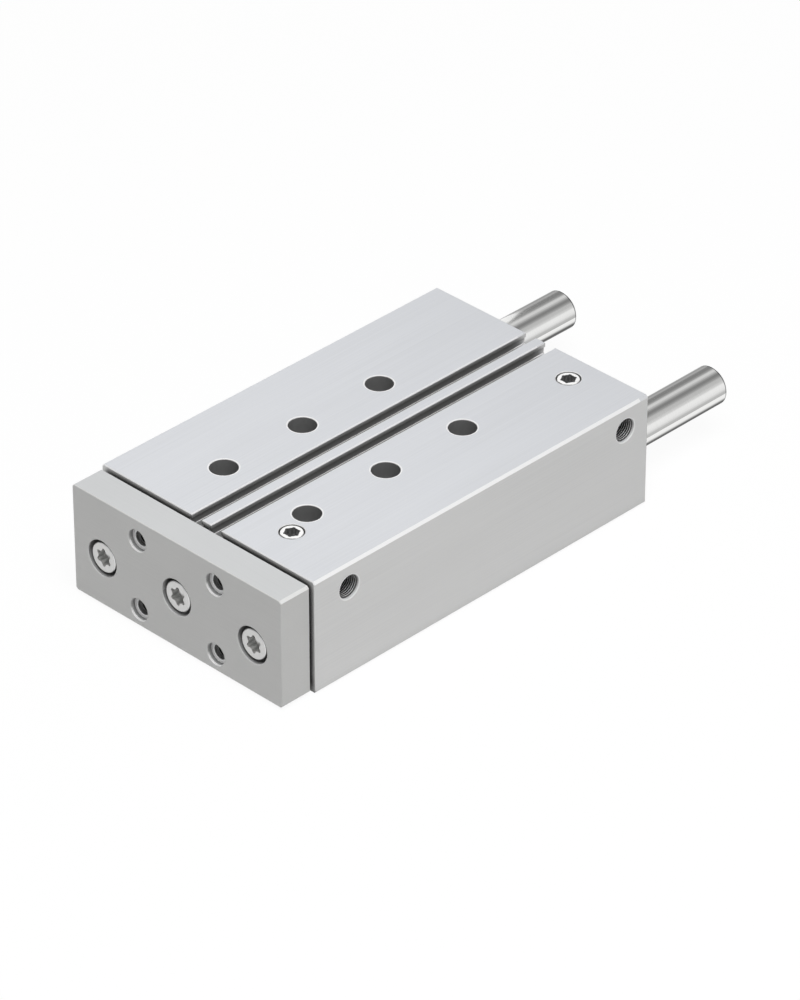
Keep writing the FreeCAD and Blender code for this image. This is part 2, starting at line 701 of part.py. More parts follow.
def make_piston_rod():
    """Piston rod with a spigot at its rear end that carries the piston and its nut."""
    shoulder = f"({PISTON_FRONT} + yoke_gap)"
    end = f"({shoulder} + piston_length - stop_gap)"
    rod_with_thread("piston_rod", [
        ("0", "0"), ("rod_diameter / 2", "0"), ("rod_diameter / 2", shoulder),
        ("rod_spigot / 2", shoulder), ("rod_spigot / 2", f"{end} - hole_edge"),
        ("rod_spigot / 2 - hole_edge", end), ("0", end),
    ], "0", ROD_AXIS)


def make_piston():
    """Piston in two halves round a ring magnet, with two seals, a guide ring and the nut that clamps it."""
    half = "((piston_length - magnet_length) / 2)"
    body_radius = "(bore / 2 - piston_gap)"
    spigot = "(rod_spigot / 2 + seat_gap)"
    land = f"(({half} - nose_length - seal_width) / 2)"
    place = along_y(PISTON_FRONT, height=ROD_AXIS)
    turned("piston_front_half", [
        (spigot, "0"), ("piston_nose / 2", "0"), ("piston_nose / 2", "nose_length"),
        (body_radius, "nose_length"), (body_radius, f"nose_length + {land}"),
        ("seal_root / 2", f"nose_length + {land}"), ("seal_root / 2", f"nose_length + {land} + seal_width"),
        (body_radius, f"nose_length + {land} + seal_width"), (body_radius, half), (spigot, half),
    ], place)
    rear = f"({half} + magnet_length)"
    turned("piston_rear_half", [
        (spigot, half), ("magnet_inner / 2 - seat_gap", half), ("magnet_inner / 2 - seat_gap", rear),
        (body_radius, rear), (body_radius, f"{rear} + {land}"), ("seal_root / 2", f"{rear} + {land}"),
        ("seal_root / 2", f"{rear} + {land} + seal_width"), (body_radius, f"{rear} + {land} + seal_width"),
        (body_radius, "piston_length - nose_length"), ("piston_nose / 2", "piston_length - nose_length"),
        ("piston_nose / 2", "piston_length"), ("nut_recess / 2", "piston_length"),
        ("nut_recess / 2", "piston_length - nut_recess_depth"), (spigot, "piston_length - nut_recess_depth"),
    ], place)
    inside = "magnet_length - 2 * seat_gap"
    between = along_y(f"{PISTON_FRONT} + {half} + seat_gap", height=ROD_AXIS)
    tube("piston_magnet", "magnet_inner", "magnet_outer", inside, between)
    tube("piston_guide_ring", "guide_ring_inner", "bore - 2 * running_gap", inside, between)
    make_piston_seals(land, rear)
    make_piston_nut()


def make_piston_seals(land, rear):
    """Lip seals in the piston's grooves, each opening towards its own side."""
    root = "(seal_root / 2 + seat_gap)"
    lip = "(bore / 2 - running_gap)"
    back, mouth = "seat_gap", "seal_width - seat_gap"
    heel = "(bore / 2 - 2 * piston_gap)"
    section = [
        (root, mouth), (root, back), (heel, back), (lip, mouth), (f"{lip} - seal_lip / 2", mouth),
        (f"({root} + {lip}) / 2", "seal_width / 2"), (f"{root} + seal_lip / 2", mouth),
    ]
    facing_front = [(radius, f"seal_width - ({along})") for radius, along in section]
    turned("piston_seal_front", facing_front,
           along_y(f"{PISTON_FRONT} + nose_length + {land}", height=ROD_AXIS))
    turned("piston_seal_rear", section, along_y(f"{PISTON_FRONT} + {rear} + {land}", height=ROD_AXIS))


def make_piston_nut():
    """Thin hexagon nut in the recess of the piston's rear half."""
    seat = f"{PISTON_FRONT} + piston_length - nut_recess_depth"
    body = new_body("piston_nut", along_y(seat, height=ROD_AXIS))
    hexagon = new_sketch(body, "nut_hexagon", "XZ_Plane")
    step = 2 * math.pi / HEXAGON
    radius = 1 / (2 * math.cos(step / 2))
    draw_outline(hexagon, [
        (f"nut_flats * {radius * math.cos(i * step):.6f}", f"nut_flats * {radius * math.sin(i * step):.6f}")
        for i in range(HEXAGON)
    ])
    draw_circle(hexagon, "rod_spigot + 2 * seat_gap")
    extrude(body, hexagon, "nut_height")


def check_and_export():
    """Stop if anything failed to build, and then write one STEP file for each sub-part."""
    doc.recompute()
    for item in doc.Objects:
        if {"Invalid", "Error"} & set(item.State):
            raise RuntimeError(f"{item.Label} did not build: {item.State}")
    for item in sub_parts:
        if item.Shape.isNull() or not item.Shape.isValid():
            raise RuntimeError(f"{item.Label} has no valid shape")
    os.makedirs("parts", exist_ok=True)
    for item in sub_parts:
        item.Shape.exportStep(f"parts/{item.Label}.step")


fill_sheet()
make_housing()
make_front_end_cap()
make_rear_end_cap()
make_cap_orings()
make_retaining_ring("front_retaining_ring", "ring_inset")
make_retaining_ring("rear_retaining_ring", f"{HOUSING_LENGTH} - ring_inset - ring_thickness")
make_rod_bearing()
make_bumpers()
make_guide_bearings()
make_port_plugs()
make_yoke_plate()
make_yoke_screws()
make_guide_rods()
make_piston_rod()
make_piston()
check_and_export()
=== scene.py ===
import bmesh
import bpy
import json
import math
from mathutils import Matrix, Vector


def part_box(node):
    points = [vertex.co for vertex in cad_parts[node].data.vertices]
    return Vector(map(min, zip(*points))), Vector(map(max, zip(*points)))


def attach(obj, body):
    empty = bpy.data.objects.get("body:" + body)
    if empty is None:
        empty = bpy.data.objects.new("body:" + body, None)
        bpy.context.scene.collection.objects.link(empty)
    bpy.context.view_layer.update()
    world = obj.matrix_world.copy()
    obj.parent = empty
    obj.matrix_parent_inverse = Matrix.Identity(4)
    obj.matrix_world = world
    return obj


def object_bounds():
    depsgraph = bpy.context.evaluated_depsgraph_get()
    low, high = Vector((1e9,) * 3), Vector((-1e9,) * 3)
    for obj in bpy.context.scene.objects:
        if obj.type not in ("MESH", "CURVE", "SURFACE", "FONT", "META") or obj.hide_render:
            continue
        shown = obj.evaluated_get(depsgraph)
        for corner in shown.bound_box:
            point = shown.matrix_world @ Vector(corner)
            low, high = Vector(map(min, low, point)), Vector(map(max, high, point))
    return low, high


# Looks of the guided pneumatic cylinder: finishes, threads, floor, studio light and camera.
# Objects are in metres in the frame of the model: +X towards the supply ports, +Y to the rear,
# +Z up. Shaders work in millimetres of the piece's own frame, which on a CAD node is the model's.

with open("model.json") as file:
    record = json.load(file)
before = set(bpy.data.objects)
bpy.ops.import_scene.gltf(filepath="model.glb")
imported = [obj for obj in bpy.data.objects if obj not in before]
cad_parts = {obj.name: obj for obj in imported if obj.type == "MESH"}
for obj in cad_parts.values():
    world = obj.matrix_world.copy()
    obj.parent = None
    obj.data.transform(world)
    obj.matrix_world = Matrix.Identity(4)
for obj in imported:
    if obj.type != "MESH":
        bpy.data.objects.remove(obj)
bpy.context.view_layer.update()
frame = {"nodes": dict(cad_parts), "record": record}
nodes = frame["nodes"]
mounts = {mount["name"]: mount for mount in frame["record"]["mounts"]}

MM = 0.001
HOUSING = "housing_body"
CARRIAGE = "carriage"


# ---------------------------------------------------------------- shader nodes

NOISE_LOW, NOISE_HIGH = 0.3, 0.7    # nearly all values of a noise lie between these


class Tree:
    """Shader nodes written as short calls. Each call adds nodes and returns an output socket."""

    def __init__(self, owner):
        owner.use_nodes = True
        self.nodes = owner.node_tree.nodes
        self.links = owner.node_tree.links
        self.nodes.clear()

    def add(self, kind, inputs=None, output=0, **settings):
        node = self.nodes.new(kind)
        for name, value in settings.items():
            setattr(node, name, value)
        for key, value in (inputs or {}).items():
            if isinstance(value, bpy.types.NodeSocket):
                self.links.new(value, node.inputs[key])
            else:
                node.inputs[key].default_value = value
        return node.outputs[output]

    def math(self, operation, *values):
        return self.add("ShaderNodeMath", dict(enumerate(values)), operation=operation)

    def product(self, first, *others):
        for other in others:
            first = self.math("MULTIPLY", first, other)
        return first

    def between(self, value, low, high):
        return self.product(self.math("GREATER_THAN", value, low),
                            self.math("LESS_THAN", value, high))

    def place(self):
        """Place on the piece, in millimetres of the piece's own frame."""
        return self.scaled(self.add("ShaderNodeTexCoord", output="Object"), 1 / MM)

    def normal(self):
        return self.parts(self.add("ShaderNodeTexCoord", output="Normal"))

    def scaled(self, vector, factor):
        return self.add("ShaderNodeVectorMath", {0: vector, "Scale": factor}, operation="SCALE")

    def stretched(self, vector, factors):
        return self.add("ShaderNodeVectorMath", {0: vector, 1: factors}, operation="MULTIPLY")

    def parts(self, vector):
        split = self.nodes.new("ShaderNodeSeparateXYZ")
        self.links.new(vector, split.inputs[0])
        return split.outputs["X"], split.outputs["Y"], split.outputs["Z"]

    def noise(self, vector, scale=1.0, detail=2.0, roughness=0.5):
        return self.add("ShaderNodeTexNoise", {"Vector": vector, "Scale": scale, "Detail": detail,
                                               "Roughness": roughness})

    def spread(self, value, low, high, to_low=0.0, to_high=1.0, steps="SMOOTHSTEP"):
        """Smooth step from low to high, mapped to another range."""
        return self.add("ShaderNodeMapRange", {"Value": value, "From Min": low, "From Max": high,
                                               "To Min": to_low, "To Max": to_high},
                        interpolation_type=steps)

    def blend(self, factor, first, second):
        """From the first number at factor 0 to the second at factor 1."""
        return self.spread(factor, 0.0, 1.0, first, second, "LINEAR")

    def vary(self, noise, low, high):
        """A noise mapped to the range from low to high."""
        return self.spread(noise, NOISE_LOW, NOISE_HIGH, low, high, "LINEAR")

    def uneven(self, noise, share):
        """1, give or take a share that follows a noise."""
        return self.vary(noise, 1 - share, 1 + share)

    def tint(self, factor, first, second):
        """From the first colour at factor 0 to the second at factor 1."""
        return self.add("ShaderNodeMix", {0: factor, 6: first, 7: second}, output=2,
                        data_type="RGBA")

    def bump(self, height, strength, distance, normal=None):
        inputs = {"Height": height, "Strength": strength, "Distance": distance}
        return self.add("ShaderNodeBump", inputs | ({"Normal": normal} if normal else {}))

    def seen_by(self, *kinds):
        """1 for these kinds of ray, and 0 for the light that falls on the part."""
        path = self.nodes.new("ShaderNodeLightPath")
        seen = 0.0
        for kind in kinds:
            seen = self.math("MAXIMUM", seen, path.outputs[f"Is {kind} Ray"])
        return seen

    def principled(self, base, metallic, roughness, normal):
        self.output("ShaderNodeOutputMaterial", self.add("ShaderNodeBsdfPrincipled", {
            "Base Color": base, "Metallic": metallic, "Roughness": roughness, "Normal": normal}))

    def output(self, kind, shader):
        self.links.new(shader, self.nodes.new(kind).inputs["Surface"])


def rgba(red, green, blue):
    return (red, green, blue, 1.0)


def grey(level):
    return rgba(level, level, level)


def new_material(name):
    material = bpy.data.materials.new(name)
    return material, Tree(material)


# ---------------------------------------------------------------- places on the part

# Corners and middles of pieces, in millimetres.
housing_low, housing_high = (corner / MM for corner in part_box("housing"))
yoke_low, yoke_high = (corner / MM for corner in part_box("yoke_plate"))
plug_low, plug_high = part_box("port_plug_front")[0] / MM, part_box("port_plug_rear")[1] / MM
screw_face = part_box("yoke_screw_left")[0].y / MM
screw_middle = (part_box("yoke_screw_right")[0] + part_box("yoke_screw_right")[1]) / 2 / MM
rod_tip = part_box("guide_rod_left")[1].y / MM


def mount_place(name):
    return tuple(value / MM for value in mounts[name]["pos_m"])


TOP_HOLES = mounts["top_mounting_holes"]["dims"]
YOKE_HOLES = mounts["yoke_mounting_holes"]["dims"]
SLOT_X = mount_place("sensor_slot_right")[0]
SLOT_HALF_MOUTH = 2.6
HEAD_RECESS_RADIUS = 5.45
PORT_RADIUS = mounts["supply_port_front"]["dims"]["r_mm"]
PLUG_SOCKET_SHADE_RADIUS = 2.75
SCREW_SOCKET_REACH = 5.0
SCREW_RECESS_RADIUS = 7.5
CENTRING_RADIUS = 4.5


def distance(tree, first, second):
    squares = (tree.math("POWER", value, 2.0) for value in (first, second))
    return tree.math("SQRT", tree.math("ADD", *squares))


def folded(tree, value, middle, half_gap):
    """Distance from the nearer of two places either side of a middle."""
    off = tree.math("ABSOLUTE", tree.math("SUBTRACT", value, middle))
    return tree.math("SUBTRACT", off, half_gap)


def from_nearest(tree, value, pitch):
    """Distance from the nearest of three places: -pitch, 0 and pitch."""
    step = tree.math("ROUND", tree.math("DIVIDE", value, pitch))
    step = tree.math("MINIMUM", tree.math("MAXIMUM", step, -1.0), 1.0)
    return tree.math("SUBTRACT", value, tree.product(step, pitch))


# Distances in millimetres from the middle of the nearest hole, port, slot or screw.

def from_mounting_hole(tree, x, y):
    return distance(tree, folded(tree, x, 0.0, TOP_HOLES["spacing_x_mm"] / 2),
                    from_nearest(tree, y, TOP_HOLES["spacing_y_mm"] / 2))


def from_port(tree, y, z):
    _, front, height = mount_place("supply_port_front")
    _, rear, _ = mount_place("supply_port_rear")
    along = folded(tree, y, (front + rear) / 2, (rear - front) / 2)
    return distance(tree, along, tree.math("SUBTRACT", z, height))


def from_slot(tree, x):
    return tree.math("ABSOLUTE", folded(tree, x, 0.0, SLOT_X))


def from_screw(tree, x, z):
    return distance(tree, from_nearest(tree, x, screw_middle.x),
                    tree.math("SUBTRACT", z, screw_middle.z))


def from_yoke_hole(tree, x, z):
    x_middle, _, z_middle = mount_place("yoke_mounting_holes")
    return distance(tree, folded(tree, x, x_middle, YOKE_HOLES["spacing_x_mm"] / 2),
                    folded(tree, z, z_middle, YOKE_HOLES["spacing_y_mm"] / 2))


# ---------------------------------------------------------------- painted shade and highlight zones

# A zone is 1 where a painted shade or highlight applies, and 0 elsewhere. Its numbers are
# millimetres from an edge or a face, or parts of the normal where the name says TILT. A pair is
# where a soft zone starts and where it has come up to 1, or the two ends of a sharp one. The last
# two of four are levels, and so is the port mouths' highlight strength. Zones are painted by
# their place on the part, to match the light in the photograph, and don't follow other light.
HOLE_RIM, HOLE_RIM_DEPTH = (0.7, 0.45), 0.2
HOLE_SIDE, HOLE_SHADE = 0.1, (0.1, 0.4)
PORT_RIM, PORT_MOUTH, PORT_HIGHLIGHT = (0.6, 0.4), (1.3, 0.9), 0.6
SLOT_WALL = 0.75
SLOT_CORNER, SLOT_CORNER_DEPTH = 0.15, (4.75, 5.12)
SLOT_MOUTH_SHADE, SLOT_INSIDE_SHADE = (0.4, 0.95, 0.0, 0.8), (0.9, 2.2, 0.0, 0.2)
SLOT_END, SLOT_FLOOR = (0.5, 6.0), 6.0
PLUG_SIDE, PLUG_FACE, PLUG_FADE = (0.03, 0.2), 0.05, (0.1, -0.1)
SCREW_SIDE, SCREW_RIM, SCREW_RIM_TILT = (0.15, 0.3), (0.2, 0.1), (0.1, 0.3)
SCREW_RECESS, SCREW_RECESS_DEPTH = 0.05, (0.2, 0.5)
YOKE_RIM, YOKE_RIM_TILT, YOKE_RIM_DEPTH = (-0.05, 0.5), (0.2, 0.5), 0.8
YOKE_WALL, YOKE_WALL_DEPTH = 0.05, (0.1, 1.9)
YOKE_FLOOR, YOKE_FLOOR_DEPTH = (-1.45, -0.08), 1.8


def housing_rim_highlight(tree, x, y, z):
    """Painted highlight on the mounting holes' broken edges and the supply ports' unthreaded
    mouths.
    """
    depth = tree.math("SUBTRACT", housing_high.z, z)
    outside = tree.math("SUBTRACT", from_mounting_hole(tree, x, y), HEAD_RECESS_RADIUS)
    hole = tree.product(tree.spread(outside, *HOLE_RIM),
                        tree.math("LESS_THAN", depth, HOLE_RIM_DEPTH))
    inward = tree.math("SUBTRACT", housing_high.x, x)
    outside = tree.math("SUBTRACT", from_port(tree, y, z), PORT_RADIUS)
    port = tree.product(tree.spread(outside, *PORT_RIM),
                        tree.spread(inward, *PORT_MOUTH, 0.0, PORT_HIGHLIGHT))
    return tree.math("MAXIMUM", hole, port)


def mounting_hole_shade(tree, x, y, z):
    """The drilled mounting holes, which are deep and hardly lit."""
    inside = tree.math("LESS_THAN", from_mounting_hole(tree, x, y), HEAD_RECESS_RADIUS + HOLE_SIDE)
    return tree.product(inside, tree.spread(tree.math("SUBTRACT", housing_high.z, z), *HOLE_SHADE))


def slot_glint(tree, x, y, z):
    """The sensor slots' lower inside corners: a painted highlight, and they mirror light from
    above.
    """
    side = tree.between(from_slot(tree, x), SLOT_HALF_MOUTH + SLOT_CORNER,
                        SLOT_HALF_MOUTH + SLOT_WALL)
    depth = tree.math("SUBTRACT", housing_high.z, z)
    return tree.product(side, tree.between(depth, *SLOT_CORNER_DEPTH))


def slot_shade(tree, x, y, z):
    """The inside of the sensor slots, fading towards their mouths and their open rear ends."""
    inside = tree.math("LESS_THAN", from_slot(tree, x), SLOT_HALF_MOUTH + SLOT_WALL)
    depth = tree.math("SUBTRACT", housing_high.z, z)
    deep = tree.math("ADD", tree.spread(depth, *SLOT_MOUTH_SHADE),
                     tree.spread(depth, *SLOT_INSIDE_SHADE))
    away = tree.spread(tree.math("SUBTRACT", housing_high.y, y), *SLOT_END)
    return tree.product(inside, deep, away, tree.math("LESS_THAN", depth, SLOT_FLOOR))


def plug_side_shade(tree, x, y, z):
    """Painted shade on the sides of the port plugs, below their rims."""
    return tree.spread(tree.math("SUBTRACT", plug_high.z, z), *PLUG_SIDE)


def plug_socket_shade(tree, x, y, z):
    """Painted shade in a disc on the port plugs' top face, round the socket, like a countersink."""
    middle, size = (plug_low + plug_high) / 2, plug_high - plug_low
    along = folded(tree, y, middle.y, (size.y - size.x) / 2)
    off = distance(tree, tree.math("SUBTRACT", x, middle.x), along)
    outside = tree.math("SUBTRACT", off, PLUG_SOCKET_SHADE_RADIUS)
    return tree.product(tree.math("GREATER_THAN", z, plug_high.z - PLUG_FACE),
                        tree.spread(outside, *PLUG_FADE))


def screw_side_shade(tree, x, y, z):
    """Painted shade on the sides of the yoke screws' heads, below their rounded rims."""
    beyond = tree.math("GREATER_THAN", from_screw(tree, x, z), SCREW_SOCKET_REACH)
    behind = tree.math("SUBTRACT", y, screw_face)
    return tree.product(beyond, tree.spread(behind, *SCREW_SIDE))


def screw_rim_highlight(tree, x, y, z):
    """Painted highlight on the upper right of the rounded rims of the yoke screws' heads."""
    beyond = tree.math("GREATER_THAN", from_screw(tree, x, z), SCREW_SOCKET_REACH)
    behind = tree.math("SUBTRACT", y, screw_face)
    tilt_x, _, tilt_z = tree.normal()
    return tree.product(beyond, tree.spread(behind, *SCREW_RIM),
                        tree.spread(tree.math("ADD", tilt_x, tilt_z), *SCREW_RIM_TILT))


def screw_recess_shade(tree, x, y, z):
    """Painted shade in the recesses round the heads of the yoke screws."""
    inside = tree.math("LESS_THAN", from_screw(tree, x, z), SCREW_RECESS_RADIUS + SCREW_RECESS)
    behind = tree.math("SUBTRACT", y, yoke_low.y)
    return tree.product(inside, tree.spread(behind, *SCREW_RECESS_DEPTH))


def yoke_hole_rim_highlight(tree, x, y, z):
    """Painted highlight on the lower rims of the yoke plate's threaded holes, which face the light.
    """
    outside = tree.math("SUBTRACT", from_yoke_hole(tree, x, z), CENTRING_RADIUS)
    _, _, tilt_z = tree.normal()
    return tree.product(tree.between(outside, *YOKE_RIM), tree.spread(tilt_z, *YOKE_RIM_TILT),
                        tree.math("LESS_THAN", y, yoke_low.y + YOKE_RIM_DEPTH))


def yoke_hole_wall_shade(tree, x, y, z):
    """Painted shade on the walls of the centring recesses in the yoke plate."""
    inside = tree.math("LESS_THAN", from_yoke_hole(tree, x, z), CENTRING_RADIUS + YOKE_WALL)
    behind = tree.math("SUBTRACT", y, yoke_low.y)
    return tree.product(inside, tree.spread(behind, *YOKE_WALL_DEPTH))


def yoke_hole_floor_highlight(tree, x, y, z):
    """Painted highlight on the ring-shaped floors of the centring recesses in the yoke plate."""
    outside = tree.math("SUBTRACT", from_yoke_hole(tree, x, z), CENTRING_RADIUS)
    return tree.product(tree.between(outside, *YOKE_FLOOR),
                        tree.math("GREATER_THAN", y, yoke_low.y + YOKE_FLOOR_DEPTH))


# ---------------------------------------------------------------- painted highlights, wear, shade

BEVEL_REACH = 1.15
FAR_EDGE = 100.0            # no painted edge highlight is drawn beyond this Y, beside the rear face
BEVEL_TILT, BEVEL_TILT_END = (0.25, 0.45), (0.97, 0.85)
RIM_ROUNDING = 0.5 * MM
TWO_FACES = 1.5             # a count of faces above this is two or more
RIM_TURN = (0.985, 0.91)    # cosines of the angle by which a rounded rim turns the normal
SHADER_SAMPLES = 8


def openness(tree, reach, closed_level, open_level):
    """1 in the open, falling to 0 in holes, slots and gaps narrower than the reach: painted shade.
    """
    seen = tree.add("ShaderNodeAmbientOcclusion", {"Distance": reach}, output="AO",
                    samples=SHADER_SAMPLES)
    return tree.spread(seen, closed_level, open_level)


def rounded_rims(tree):
    """The normal rounded over sharp edges, and 1 beside them, for a painted highlight with wear."""
    rounded = tree.add("ShaderNodeBevel", {"Radius": RIM_ROUNDING}, samples=SHADER_SAMPLES)
    true = tree.add("ShaderNodeNewGeometry", output="True Normal")
    same = tree.add("ShaderNodeVectorMath", {0: rounded, 1: true}, output="Value",
                    operation="DOT_PRODUCT")
    return rounded, tree.spread(same, *RIM_TURN)


def outer_edges(tree, place, low, high):
    """1 on a box's upper bevels, for a painted highlight with wear, and 1 where any two outer faces
    meet.
    """
    bevels, faces = 0.0, 0.0
    for here, tilt, start, end in zip(place, tree.normal(), low, high):
        off = tree.math("ABSOLUTE", tree.math("SUBTRACT", here, (start + end) / 2))
        beside = tree.math("GREATER_THAN", off, (end - start) / 2 - BEVEL_REACH)
        slant = tree.math("ABSOLUTE", tilt)
        oblique = tree.product(tree.spread(slant, *BEVEL_TILT), tree.spread(slant, *BEVEL_TILT_END))
        bevels = tree.math("MAXIMUM", bevels, tree.product(beside, oblique))
        faces = tree.math("ADD", faces, beside)
    upper = tree.math("GREATER_THAN", place[2], high[2] - BEVEL_REACH)
    near = tree.math("LESS_THAN", place[1], FAR_EDGE)
    return tree.product(bevels, upper, near), tree.math("GREATER_THAN", faces, TWO_FACES)


# ---------------------------------------------------------------- finishes

# Looks of the anodised pieces. colour is that of the sides, top that of faces turned up, a cooler
# tint that is painted light from above, hollow the painted shade in hollows, edge the painted
# highlight with wear on upper bevels and rims. reach and levels (closed, open) set what counts
# as a hollow. lines and patches are the stretch of those two noises along X, Y and Z, and
# streaks is the share of the lines.
HOUSING_LOOK = {
    "colour": (0.745, 0.745, 0.74), "top": (0.72, 0.735, 0.765), "hollow": (0.055, 0.055, 0.055),
    "edge": (0.98, 0.98, 0.98), "metallic": 0.25, "roughness": 0.40, "reach": 9.0,
    "levels": (0.18, 0.62), "lines": (2.4, 0.010, 2.4), "patches": (0.05, 0.01, 0.05),
    "streaks": 0.03, "box": (housing_low, housing_high), "glint": slot_glint,
    "shades": ((housing_rim_highlight, 0.97), (mounting_hole_shade, 0.24), (slot_shade, 0.24))}
YOKE_LOOK = {
    "colour": (0.65, 0.65, 0.64), "top": (0.64, 0.65, 0.655), "hollow": (0.20, 0.20, 0.20),
    "edge": (0.84, 0.84, 0.83), "metallic": 0.15, "roughness": 0.42, "reach": 5.0,
    "levels": (0.05, 0.45), "lines": (0.012, 2.4, 2.4), "patches": (0.02, 0.05, 0.05),
    "streaks": 0.02, "box": (yoke_low, yoke_high),
    "shades": ((yoke_hole_wall_shade, 0.26), (yoke_hole_floor_highlight, 1.0), (yoke_hole_rim_highlight, 1.0),
               (screw_recess_shade, 0.40))}

# Settings of the noises.
SATIN_LINES = {"detail": 4.0, "roughness": 0.6}
SATIN_PATCHES = {"detail": 1.0}
SATIN_GRAIN = {"scale": 5.0, "detail": 3.0}
TURNED_RINGS = {"detail": 3.0, "roughness": 0.6}
TURNED_SMUDGES = {"scale": 0.12, "detail": 2.0}
SOFT_GRAIN = {"scale": 3.0, "detail": 4.0}
THREAD_CHATTER = {"scale": 0.6, "detail": 2.0}

# How far a noise moves the level of the colour either way, and the roughness.
PATCH_SHARE, RING_SHARE, SMUDGE_SHARE, MOTTLING, CHATTER_SHARE = 0.015, 0.025, 0.01, 0.1, 0.08
SATIN_SWING, SOFT_SWING = 0.05, 0.05
TURNED_SMOOTHER, TURNED_ROUGHER = 0.02, 0.03

# Strength and depth of the fine relief.
SATIN_RELIEF, SOFT_RELIEF, THREAD_RELIEF = (0.12, 0.01 * MM), (0.2, 0.02 * MM), (0.05, 0.01 * MM)
TURNED_RELIEF_DEPTH = 0.005 * MM

LINES_IN_RELIEF = 0.6       # the grain has the rest
# Lowest strength of the painted edge highlight, which varies with the grain like wear.
HIGHLIGHT_AND_WEAR_LOW = 0.8
GLINT_LEVEL, GLINT_ROUGHNESS = 0.9, 0.15
# Painted shade on the rear tips of the rods: its reach along Y and its level.
TIP_LINE, TIP_LEVEL = 1.3, 0.25
THREAD_METALLIC, THREAD_ROUGHNESS = 0.1, 0.35
# Parts of the normal between which a face comes to count as turned up, square to Y, or sloping
# off a crest.
TOP_TILT, END_TILT, CREST_TILT = (0.3, 0.9), (0.3, 0.5), (0.25, 0.6)


def satin_aluminium(name, look):
    """Anodised aluminium: lines along one direction, painted edge highlights with wear, painted
    shade in hollows.
    """
    material, tree = new_material(name)
    place = tree.place()
    x, y, z = tree.parts(place)
    lines = tree.noise(tree.stretched(place, look["lines"]), **SATIN_LINES)
    patches = tree.noise(tree.stretched(place, look["patches"]), **SATIN_PATCHES)
    grain = tree.noise(place, **SATIN_GRAIN)
    level = tree.product(tree.uneven(lines, look["streaks"]), tree.uneven(patches, PATCH_SHARE))
    # Faces turned up take the top colour: a cooler tint, painted light from above.
    _, _, up = tree.normal()
    coat_and_top_light = tree.tint(tree.spread(up, *TOP_TILT), rgba(*look["colour"]), rgba(*look["top"]))
    # Painted shade: the hollow colour inside holes, slots and gaps.
    base = tree.tint(openness(tree, look["reach"] * MM, *look["levels"]), rgba(*look["hollow"]),
                     tree.scaled(coat_and_top_light, level))
    rounded, rims = rounded_rims(tree)
    bevels, corners = outer_edges(tree, (x, y, z), *look["box"])
    rims = tree.product(rims, tree.math("SUBTRACT", 1.0, corners))
    # Painted highlight with wear, in the edge colour, on the upper bevels and rims.
    highlight_and_wear = tree.product(tree.math("MAXIMUM", bevels, rims), tree.vary(grain, HIGHLIGHT_AND_WEAR_LOW, 1.0))
    base = tree.tint(highlight_and_wear, base, rgba(*look["edge"]))
    # Painted shade and painted highlights, zone by zone.
    for zone, shade in look["shades"]:
        base = tree.tint(zone(tree, x, y, z), base, grey(shade))
    metallic, roughness = look["metallic"], look["roughness"]
    # Painted highlight: the glint lightens the base, and also makes the spot smooth metal.
    if "glint" in look:
        glint = look["glint"](tree, x, y, z)
        base = tree.tint(glint, base, grey(GLINT_LEVEL))
        metallic = tree.blend(glint, metallic, 1.0)
        roughness = tree.blend(glint, roughness, GLINT_ROUGHNESS)
    fine = tree.math("ADD", tree.product(lines, LINES_IN_RELIEF),
                     tree.product(grain, 1 - LINES_IN_RELIEF))
    roughness = tree.math("ADD", roughness, tree.vary(fine, -SATIN_SWING, SATIN_SWING))
    tree.principled(base, metallic, roughness, tree.bump(fine, *SATIN_RELIEF, rounded))
    return material


def turned_metal(name, colour, roughness, rings=(1.0, 1.0, 1.0), bump=0.1, metallic=1.0,
                 ends=None, shades=()):
    """Turned or ground metal: very fine rings. ends is the painted shade level of rod faces square
    to Y.
    """
    material, tree = new_material(name)
    place = tree.place()
    fine = tree.noise(tree.stretched(place, rings), **TURNED_RINGS)
    smudge = tree.noise(place, **TURNED_SMUDGES)
    level = tree.product(tree.uneven(fine, RING_SHARE), tree.uneven(smudge, SMUDGE_SHARE))
    base = tree.scaled(colour, level)
    # Painted shade on rod faces square to Y, and on the rod tips.
    if ends:
        _, tilt, _ = tree.normal()
        square = tree.spread(tree.math("ABSOLUTE", tilt), *END_TILT)
        base = tree.tint(square, base, grey(ends))
        _, along, _ = tree.parts(place)
        beyond = tree.math("GREATER_THAN", along, rod_tip - TIP_LINE)
        base = tree.tint(beyond, base, grey(TIP_LEVEL))
    # Painted shade and painted highlights, zone by zone.
    for zone, shade in shades:
        base = tree.tint(zone(tree, *tree.parts(place)), base, grey(shade))
    roughness = tree.vary(fine, roughness - TURNED_SMOOTHER, roughness + TURNED_ROUGHER)
    tree.principled(base, metallic, roughness, tree.bump(fine, bump, TURNED_RELIEF_DEPTH))
    return material


def soft_material(name, colour, roughness):
    """Rubber, plastic or sintered metal: fine grain in colour and surface."""
    material, tree = new_material(name)
    grain = tree.noise(tree.place(), **SOFT_GRAIN)
    base = tree.scaled(colour, tree.uneven(grain, MOTTLING))
    tree.principled(base, 0.0, tree.vary(grain, roughness - SOFT_SWING, roughness + SOFT_SWING),
                    tree.bump(grain, *SOFT_RELIEF))
    return material


def cut_thread(name, crest, flank):
    """A cut thread: painted highlight on its crests, painted shade on its flanks. The thread runs
    along Z of its piece.
    """
    material, tree = new_material(name)
    _, _, tilt = tree.normal()
    chatter = tree.noise(tree.place(), **THREAD_CHATTER)
    top = tree.scaled((crest, crest, crest), tree.uneven(chatter, CHATTER_SHARE))
    # Painted shade on the flanks, against the painted highlight on the crests.
    off_crest = tree.spread(tree.math("ABSOLUTE", tilt), *CREST_TILT)
    base = tree.tint(off_crest, top, grey(flank))
    tree.principled(base, THREAD_METALLIC, THREAD_ROUGHNESS, tree.bump(chatter, *THREAD_RELIEF))
    return material


